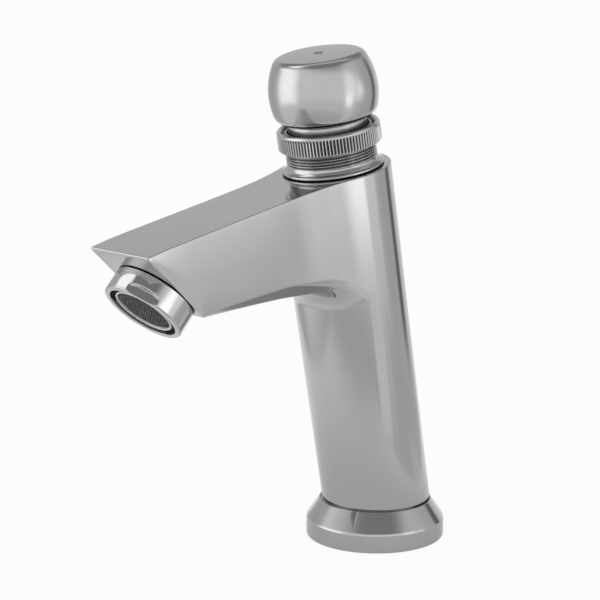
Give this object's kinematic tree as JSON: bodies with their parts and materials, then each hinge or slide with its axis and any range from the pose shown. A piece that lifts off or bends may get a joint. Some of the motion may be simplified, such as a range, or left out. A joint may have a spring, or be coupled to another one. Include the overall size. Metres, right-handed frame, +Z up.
{
  "type": "push timed tap",
  "caption": "Chrome push timed tap: a leaning round column with a flat-topped spout, a slanted aerator and a barrel push button that springs back and shuts the water off.",
  "frame": {"origin": "centre of the base flange on the deck, at the mouth of the inlet socket", "axes": "+Z up from the deck, -Y towards the spout's tip, X across the tap"},
  "size_m": [0.05, 0.1438, 0.1786],
  "materials": {
    "chrome_body": "polished chrome plate on brass",
    "chrome_trim": "polished chrome plate on turned brass",
    "brass": "machined",
    "steel": "stainless",
    "rubber": "matt black",
    "white_plastic": "moulded, satin"
  },
  "bodies": {
    "tap": {"tap_body": "chrome_body", "base_flange": "chrome_trim", "deck_gasket": "rubber", "inlet_strainer": "steel", "flow_restrictor": "white_plastic", "seat_gasket": "rubber", "valve_seat": "brass", "valve_cage": "brass", "bonnet": "chrome_trim", "bonnet_gasket": "rubber", "gland_bush": "brass", "stem_oring": "rubber", "knurled_nut": "chrome_trim", "aerator_shell": "chrome_trim", "aerator_washer": "rubber", "aerator_insert": "white_plastic", "aerator_diffuser": "white_plastic", "aerator_screen": "steel", "return_spring": "steel"},
    "plunger": {"push_button": "chrome_trim", "plunger_sleeve": "chrome_trim", "sleeve_nut": "brass", "valve_stem": "steel", "piston": "brass", "piston_cup": "rubber", "piston_clip": "steel", "bleed_screw": "steel", "poppet_washer": "rubber", "poppet": "brass", "poppet_nut": "brass"}
  },
  "joints": [
    {"name": "button_press", "type": "slide", "parent": "tap", "child": "plunger", "axis": [0, 0.1822, -0.9833], "range_m": [0, 0.0028], "stiffness_N_per_m": 1500, "springref_m": -0.008, "deforming": ["return_spring"]}
  ]
}
